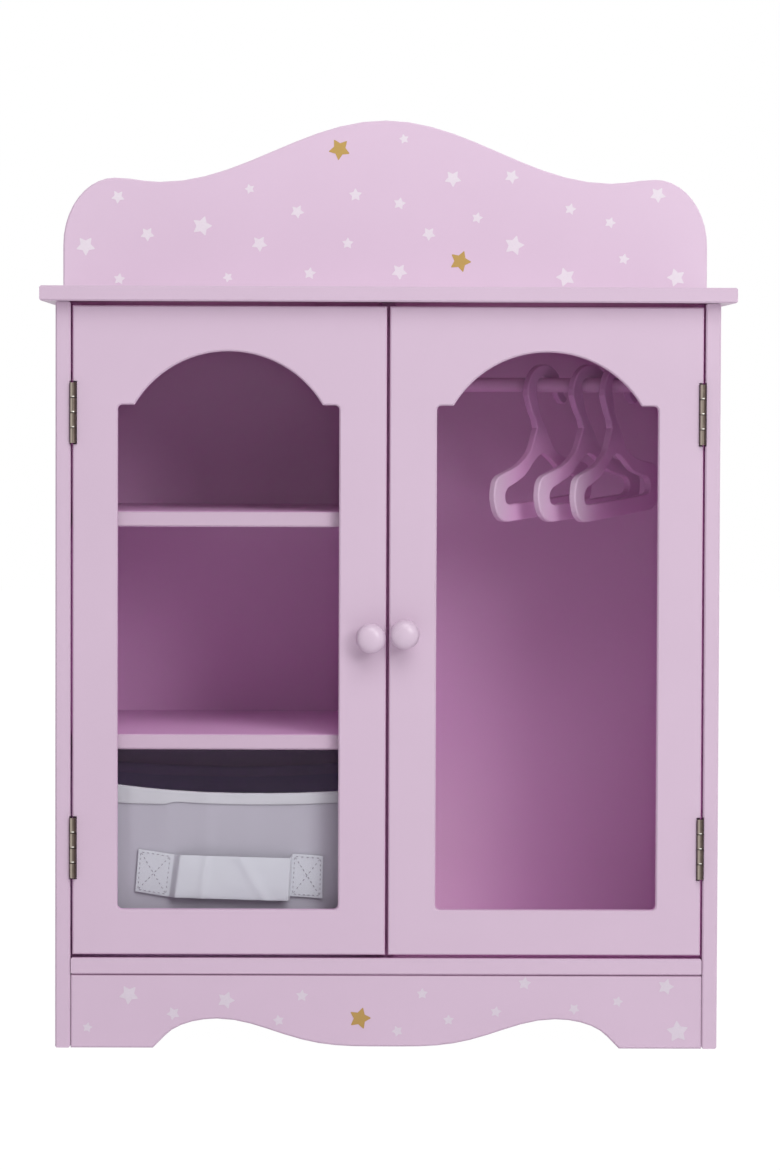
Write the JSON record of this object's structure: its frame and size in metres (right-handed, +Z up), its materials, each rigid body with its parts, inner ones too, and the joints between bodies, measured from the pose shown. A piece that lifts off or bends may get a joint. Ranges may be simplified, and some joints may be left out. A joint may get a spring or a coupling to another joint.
{
  "type": "doll closet",
  "caption": "Doll closet: pink board cabinet with arched window doors, shelves, a rod with hangers, a fabric bin, and a scalloped crest and apron.",
  "frame": {"origin": "under the middle of the closed closet's whole box, on the floor", "axes": "+Z up, the doors face -Y, +X to the right when facing the doors"},
  "size_m": [0.46, 0.274, 0.6301],
  "materials": {
    "pink_paint": "pale pink satin paint on fibreboard, with printed stars on the crest and the apron",
    "inner_board_paint": "pink satin paint on fibreboard",
    "back_board_paint": "pink paint on thin board",
    "rod_paint": "pink painted dowel rod",
    "hanger_plastic": "pink moulded plastic, soft gloss",
    "knob_paint": "pale pink painted wood",
    "hinge_metal": "dull nickel",
    "screw_metal": "zinc plated",
    "clear_pane": "clear sheet",
    "bin_fabric": "light grey non-woven fabric",
    "binding_tape": "off-white woven tape, stitched",
    "handle_strap": "off-white woven strap, stitched",
    "base_card": "grey board"
  },
  "bodies": {
    "cabinet": {"left_side_panel": "pink_paint", "right_side_panel": "pink_paint", "top_panel": "pink_paint", "bottom_panel": "pink_paint", "centre_divider": "inner_board_paint", "upper_shelf": "inner_board_paint", "lower_shelf": "inner_board_paint", "crest_board": "pink_paint", "front_apron": "pink_paint", "back_panel": "back_board_paint", "hanging_rod": "rod_paint", "crest_screw_left": "screw_metal", "crest_screw_middle": "screw_metal", "crest_screw_right": "screw_metal", "apron_screw_left": "screw_metal", "apron_screw_right": "screw_metal", "left_upper_hinge_frame_leaf": "hinge_metal", "left_upper_hinge_frame_screw_1": "screw_metal", "left_upper_hinge_frame_screw_2": "screw_metal", "left_upper_hinge_pin": "hinge_metal", "left_lower_hinge_frame_leaf": "hinge_metal", "left_lower_hinge_frame_screw_1": "screw_metal", "left_lower_hinge_frame_screw_2": "screw_metal", "left_lower_hinge_pin": "hinge_metal", "right_upper_hinge_frame_leaf": "hinge_metal", "right_upper_hinge_frame_screw_1": "screw_metal", "right_upper_hinge_frame_screw_2": "screw_metal", "right_upper_hinge_pin": "hinge_metal", "right_lower_hinge_frame_leaf": "hinge_metal", "right_lower_hinge_frame_screw_1": "screw_metal", "right_lower_hinge_frame_screw_2": "screw_metal", "right_lower_hinge_pin": "hinge_metal"},
    "left_door": {"left_door_panel": "pink_paint", "left_window_pane": "clear_pane", "left_knob": "knob_paint", "left_knob_screw": "screw_metal", "left_upper_hinge_door_leaf": "hinge_metal", "left_upper_hinge_door_screw_1": "screw_metal", "left_upper_hinge_door_screw_2": "screw_metal", "left_lower_hinge_door_leaf": "hinge_metal", "left_lower_hinge_door_screw_1": "screw_metal", "left_lower_hinge_door_screw_2": "screw_metal"},
    "right_door": {"right_door_panel": "pink_paint", "right_window_pane": "clear_pane", "right_knob": "knob_paint", "right_knob_screw": "screw_metal", "right_upper_hinge_door_leaf": "hinge_metal", "right_upper_hinge_door_screw_1": "screw_metal", "right_upper_hinge_door_screw_2": "screw_metal", "right_lower_hinge_door_leaf": "hinge_metal", "right_lower_hinge_door_screw_1": "screw_metal", "right_lower_hinge_door_screw_2": "screw_metal"},
    "storage_bin": {"bin_shell": "bin_fabric", "bin_rim_binding": "binding_tape", "bin_base_board": "base_card", "bin_handle": "handle_strap"},
    "hanger_one": {"hanger_1": "hanger_plastic"},
    "hanger_two": {"hanger_2": "hanger_plastic"},
    "hanger_three": {"hanger_3": "hanger_plastic"}
  },
  "joints": [
    {"name": "left_door_hinge", "type": "hinge", "parent": "cabinet", "child": "left_door", "pos_m": [-0.2082, -0.1185, 0.2775], "axis": [0, 0, -1], "range_deg": [0, 170]},
    {"name": "right_door_hinge", "type": "hinge", "parent": "cabinet", "child": "right_door", "pos_m": [0.2082, -0.1185, 0.2775], "axis": [0, 0, 1], "range_deg": [0, 170]},
    {"name": "bin_slide", "type": "slide", "parent": "cabinet", "child": "storage_bin", "axis": [0, -1, 0], "range_m": [0, 0.004]},
    {"name": "hanger_one_swing", "type": "hinge", "parent": "cabinet", "child": "hanger_one", "pos_m": [0.1068, 0.011, 0.4415], "axis": [1, 0, 0], "range_deg": [-3, 3]},
    {"name": "hanger_two_swing", "type": "hinge", "parent": "cabinet", "child": "hanger_two", "pos_m": [0.1387, 0.011, 0.4415], "axis": [1, 0, 0], "range_deg": [-3, 3]},
    {"name": "hanger_three_swing", "type": "hinge", "parent": "cabinet", "child": "hanger_three", "pos_m": [0.1578, 0.011, 0.4415], "axis": [1, 0, 0], "range_deg": [-3, 3]}
  ]
}
